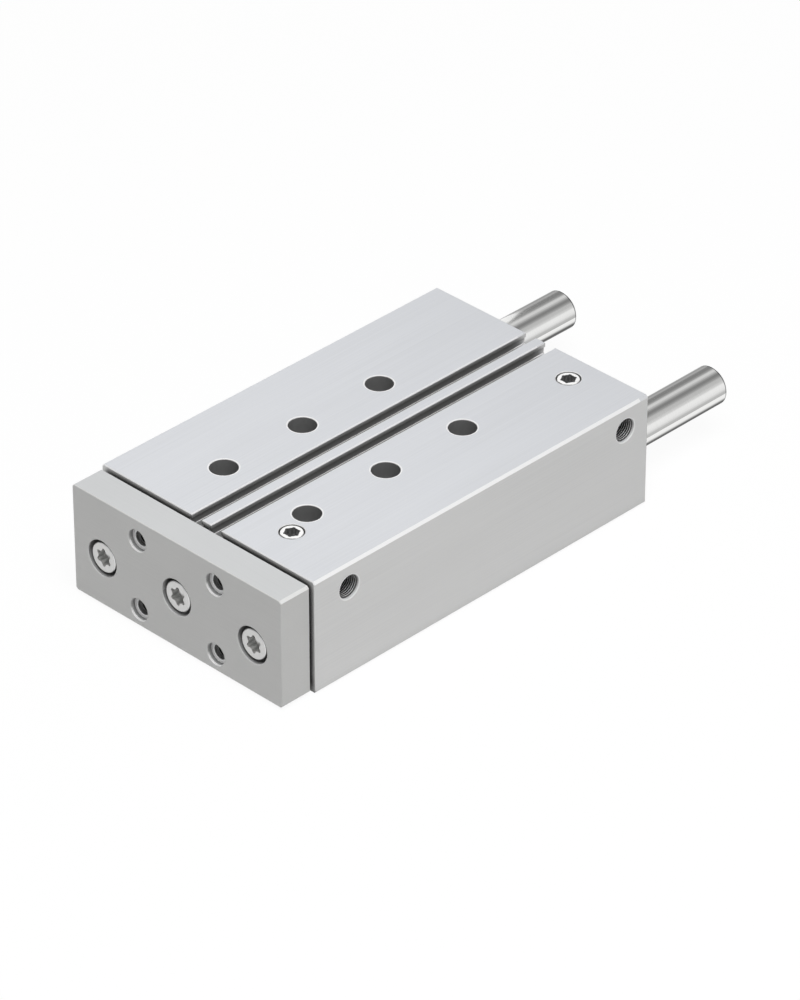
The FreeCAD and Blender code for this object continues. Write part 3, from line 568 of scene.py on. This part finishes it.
FINISHES = {
    "anodised_housing": satin_aluminium("anodised_housing", HOUSING_LOOK),
    "anodised_yoke": satin_aluminium("anodised_yoke", YOKE_LOOK),
    "turned_aluminium": turned_metal("turned_aluminium", (0.62, 0.62, 0.63), 0.35,
                                     rings=(0.3, 4.0, 0.3)),
    "ground_rod": turned_metal("ground_rod", (0.86, 0.86, 0.85), 0.05, rings=(0.4, 6.0, 0.4),
                               bump=0.03, ends=0.40),
    "plated_screw": turned_metal("plated_screw", (0.66, 0.66, 0.65), 0.30, metallic=0.7,
                                 shades=((screw_side_shade, 0.12), (screw_rim_highlight, 1.0))),
    "nickel_plug": turned_metal("nickel_plug", (0.98, 0.975, 0.97), 0.04, bump=0.01, metallic=0.8,
                                shades=((plug_side_shade, 0.40), (plug_socket_shade, 0.07))),
    "spring_steel": turned_metal("spring_steel", (0.22, 0.22, 0.23), 0.40),
    "bush_bronze": soft_material("bush_bronze", (0.42, 0.30, 0.17), 0.45),
    "nitrile_seal": soft_material("nitrile_seal", (0.02, 0.02, 0.02), 0.55),
    "polyurethane": soft_material("polyurethane", (0.05, 0.05, 0.055), 0.4),
    "guide_ring_plastic": soft_material("guide_ring_plastic", (0.12, 0.12, 0.12), 0.5),
    "ring_magnet": soft_material("ring_magnet", (0.10, 0.10, 0.10), 0.5),
}


def finish_cad_nodes():
    for subpart in frame["record"]["subparts"]:
        mesh = nodes[subpart["node"]].data
        mesh.materials.clear()
        mesh.materials.append(FINISHES[subpart["material_slot"]])


# ---------------------------------------------------------------- threads

THREAD_SEGMENTS = 40            # of one turn
THREAD_RUNOUT = 2.5             # full heights that the ridge gains per turn at either end
THREAD_FOOT = 0.44              # half of the ridge's foot, as a share of the pitch
THREAD_CREST = 0.3              # width of the crest, as a share of the foot's
THINNEST_CREST, THINNEST_FOOT = 0.02, 0.05

# Radius of the root and of the crest, pitch, length, and depth of the start below the face of
# the part, in millimetres.
PORT_THREAD = {"root": 4.86, "crest": 4.283, "pitch": 0.907, "length": 6.6}
YOKE_THREAD = {"root": 2.995, "crest": 2.46, "pitch": 1.0, "length": 11.0}
BASE_THREAD = {"root": 3.995, "crest": 3.42, "pitch": 1.25, "length": 12.8}
PORT_THREAD_START, YOKE_THREAD_START, BASE_THREAD_START = 0.9, 2.9, 2.7


def thread_ridge(name, root, crest, pitch, length, material):
    """The ridge of an internal thread along +Z from z = 0, as one closed solid."""
    steps = int(round(THREAD_SEGMENTS * length / pitch))
    mesh = bmesh.new()
    rows = []
    for i in range(steps + 1):
        angle = math.tau * i / THREAD_SEGMENTS
        z = length * i / steps
        fade = min(1.0, THREAD_RUNOUT * min(i, steps - i) / THREAD_SEGMENTS)
        top = root - (root - crest) * max(fade, THINNEST_CREST)
        foot = THREAD_FOOT * pitch * max(fade, THINNEST_FOOT)
        section = ((root, -foot), (top, -THREAD_CREST * foot), (top, THREAD_CREST * foot),
                   (root, foot))
        across, up = MM * math.cos(angle), MM * math.sin(angle)
        rows.append([mesh.verts.new((r * across, r * up, MM * (z + dz))) for r, dz in section])
    corners = len(rows[0])
    for low, high in zip(rows, rows[1:]):
        for k in range(corners):
            after = (k + 1) % corners
            mesh.faces.new((low[k], low[after], high[after], high[k]))
    mesh.faces.new(rows[0])
    mesh.faces.new(list(reversed(rows[-1])))
    bmesh.ops.recalc_face_normals(mesh, faces=mesh.faces)
    data = bpy.data.meshes.new(name)
    mesh.to_mesh(data)
    mesh.free()
    data.materials.append(material)
    return data


def link(name, data):
    added = bpy.data.objects.new(name, data)
    bpy.context.scene.collection.objects.link(added)
    return added


def add_thread(name, data, body, start, inward):
    """Puts a ridge into a hole: start is its first point on the axis, inward its direction."""
    turn = Vector(inward).to_track_quat("Z", "Y").to_matrix().to_4x4()
    piece = link(name, data)
    piece.matrix_world = Matrix.Translation(Vector(start) * MM) @ turn
    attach(piece, body)


def add_port_threads(material):
    data = thread_ridge("port_thread", material=material, **PORT_THREAD)
    for end in ("front", "rear"):
        _, y, z = mount_place(f"supply_port_{end}")
        add_thread(f"port_thread_{end}", data, HOUSING,
                   (housing_high.x - PORT_THREAD_START, y, z), (-1, 0, 0))


def add_yoke_threads(material):
    data = thread_ridge("yoke_thread", material=material, **YOKE_THREAD)
    x, _, z = mount_place("yoke_mounting_holes")
    across, up = YOKE_HOLES["spacing_x_mm"] / 2, YOKE_HOLES["spacing_y_mm"] / 2
    spots = [(x + side * across, z + row * up) for row in (-1, 1) for side in (-1, 1)]
    for number, (x, z) in enumerate(spots, start=1):
        add_thread(f"yoke_thread_{number}", data, CARRIAGE,
                   (x, yoke_low.y + YOKE_THREAD_START, z), (0, 1, 0))


def add_base_threads(material):
    data = thread_ridge("base_thread", material=material, **BASE_THREAD)
    corners = mounts["base_mounting_holes"]["dims"]
    across, along = corners["spacing_x_mm"] / 2, corners["spacing_y_mm"] / 2
    spots = [(side * across, row * along) for row in (-1, 0, 1) for side in (-1, 1)]
    for number, (x, y) in enumerate(spots, start=1):
        add_thread(f"base_thread_{number}", data, HOUSING,
                   (x, y, BASE_THREAD_START), (0, 0, 1))


# ---------------------------------------------------------------- stage, light and camera

# Lengths are in metres here, and angles in degrees.
WORLD_LIGHT = 0.3
FLOOR_REACH, FLOOR_DROP = 6.0, 0.05 * MM
FLOOR_PAPER, FLOOR_GLOW, FLOOR_GLOW_SHARE = 0.45, 1.1, 0.85

REFLECTOR_RADIUS = 0.7
REFLECTOR_MIDDLE = 0.03
REFLECTOR_SEGMENTS = 96
# Grey level of the reflectors by the angle round the Y axis, up from +X. The levels were worked
# out from grey levels measured across a guide rod in the photograph, then adjusted.
REFLECTOR_BANDS = (
    (-180, 0.33), (-163, 0.46), (-147, 0.60), (-135, 0.42), (-115, 0.20), (-99, 0.12),
    (-91, 0.18), (-83, 0.40), (-75, 0.72), (-67, 0.96), (-55, 1.0), (-43, 0.86), (-34, 0.52),
    (-27, 0.56), (-19, 0.74), (-8, 0.88), (5, 0.93), (15, 0.93), (29, 0.68), (40, 0.57),
    (50, 0.55), (63, 0.34), (69, 0.26), (77, 0.24), (85, 0.34), (93, 0.53), (103, 0.72),
    (109, 0.70), (123, 0.34), (133, 0.25), (149, 0.25), (163, 0.44), (171, 0.44))
# Front and rear end along Y, and the first and last angle.
REFLECTORS = {
    "reflector_rear": (0.629, 3.0, -180.0, 180.0),
    "reflector_front": (-3.0, -0.15, 0.0, 180.0),
    "reflector_overhead": (-0.15, 0.629, 55.0, 105.0),
}

LAMP_PLACE, LAMP_SIZE, LAMP_POWER = (0.70, -0.38, 1.84), 1.2, 29.5

CAMERA_AZIMUTH, CAMERA_ELEVATION = 44.63, 33.45
CAMERA_DISTANCE = 2.05706
CAMERA_AIM = (11.74 * MM, 17.23 * MM, 22.27 * MM)
CAMERA_LENS, CAMERA_SENSOR = 201.4, 36.0
CAMERA_CLIP = (0.05, 50.0)


def make_world():
    """Even light from all round, which the camera and mirroring pieces see as white."""
    world = bpy.data.worlds.new("studio")
    bpy.context.scene.world = world
    tree = Tree(world)
    light = tree.add("ShaderNodeBackground", {"Color": grey(1), "Strength": WORLD_LIGHT})
    white = tree.add("ShaderNodeBackground", {"Color": grey(1), "Strength": 1.0})
    share = tree.seen_by("Camera", "Glossy", "Transmission")
    tree.output("ShaderNodeOutputWorld", tree.add("ShaderNodeMixShader", {0: share, 1: light,
                                                                          2: white}))


def make_floor():
    """Pale paper that glows a little where the camera sees it."""
    reach = FLOOR_REACH
    data = bpy.data.meshes.new("floor")
    data.from_pydata([(-reach, -reach, 0), (reach, -reach, 0), (reach, reach, 0),
                      (-reach, reach, 0)], [], [(0, 1, 2, 3)])
    floor = link("floor", data)
    floor.location.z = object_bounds()[0].z - FLOOR_DROP
    material, tree = new_material("floor")
    paper = tree.add("ShaderNodeBsdfDiffuse", {"Color": grey(FLOOR_PAPER)})
    glow = tree.add("ShaderNodeEmission", {"Color": grey(1), "Strength": FLOOR_GLOW})
    share = tree.product(tree.seen_by("Camera", "Transmission"), FLOOR_GLOW_SHARE)
    tree.output("ShaderNodeOutputMaterial", tree.add("ShaderNodeMixShader", {0: share, 1: paper,
                                                                             2: glow}))
    data.materials.append(material)
    floor.visible_glossy = False


def reflector_material():
    material, tree = new_material("reflector")
    x, _, z = tree.parts(tree.add("ShaderNodeTexCoord", output="Object"))
    angle = tree.math("DEGREES", tree.math("ARCTAN2", z, x))
    level = REFLECTOR_BANDS[0][1]
    closing = (180, level)
    for (low, before), (high, after) in zip(REFLECTOR_BANDS, REFLECTOR_BANDS[1:] + (closing,)):
        level = tree.math("ADD", level, tree.spread(angle, low, high, 0.0, after - before))
    shade = tree.add("ShaderNodeCombineColor", {0: level, 1: level, 2: level})
    glow = tree.add("ShaderNodeEmission", {"Color": shade, "Strength": 1.0})
    tree.output("ShaderNodeOutputMaterial", glow)
    return material


def make_reflector(name, material, front, rear, first, last):
    """A grey reflector bent round the part, along Y. Only reflections show it."""
    turn = (last - first) / REFLECTOR_SEGMENTS
    points = []
    for i in range(REFLECTOR_SEGMENTS + 1):
        angle = math.radians(first + turn * i)
        x, z = REFLECTOR_RADIUS * math.cos(angle), REFLECTOR_RADIUS * math.sin(angle)
        points += [(x, front, z), (x, rear, z)]
    faces = [(2 * i, 2 * i + 1, 2 * i + 3, 2 * i + 2) for i in range(REFLECTOR_SEGMENTS)]
    data = bpy.data.meshes.new(name)
    data.from_pydata(points, [], faces)
    data.materials.append(material)
    reflector = link(name, data)
    for rays in ("camera", "diffuse", "transmission", "volume_scatter", "shadow"):
        setattr(reflector, f"visible_{rays}", False)
    reflector.location.x = REFLECTOR_MIDDLE


def make_lamp():
    light = bpy.data.lights.new("key", "AREA")
    light.shape, light.size, light.energy = "DISK", LAMP_SIZE, LAMP_POWER
    lamp = link("key", light)
    lamp.location = LAMP_PLACE
    lamp.rotation_mode = "QUATERNION"
    lamp.rotation_quaternion = (-Vector(LAMP_PLACE)).to_track_quat("-Z", "Y")
    lamp.visible_glossy = False


def make_camera():
    data = bpy.data.cameras.new("camera")
    data.lens, data.sensor_width = CAMERA_LENS, CAMERA_SENSOR
    data.clip_start, data.clip_end = CAMERA_CLIP
    camera = link("camera", data)
    turn, rise = math.radians(CAMERA_AZIMUTH), math.radians(CAMERA_ELEVATION)
    back = Vector((math.sin(turn) * math.cos(rise), -math.cos(turn) * math.cos(rise),
                   math.sin(rise)))
    camera.location = Vector(CAMERA_AIM) + back * CAMERA_DISTANCE
    camera.rotation_mode = "QUATERNION"
    camera.rotation_quaternion = (-back).to_track_quat("-Z", "Y")
    bpy.context.scene.camera = camera


def make_studio():
    make_world()
    make_floor()
    material = reflector_material()
    for name, extent in REFLECTORS.items():
        make_reflector(name, material, *extent)
    make_lamp()
    make_camera()
    bpy.context.scene.view_settings.view_transform = "Standard"


finish_cad_nodes()
housing_thread = cut_thread("housing_thread", crest=1.0, flank=0.05)
yoke_thread = cut_thread("yoke_thread", crest=0.50, flank=0.08)
add_port_threads(housing_thread)
add_yoke_threads(yoke_thread)
add_base_threads(housing_thread)
make_studio()
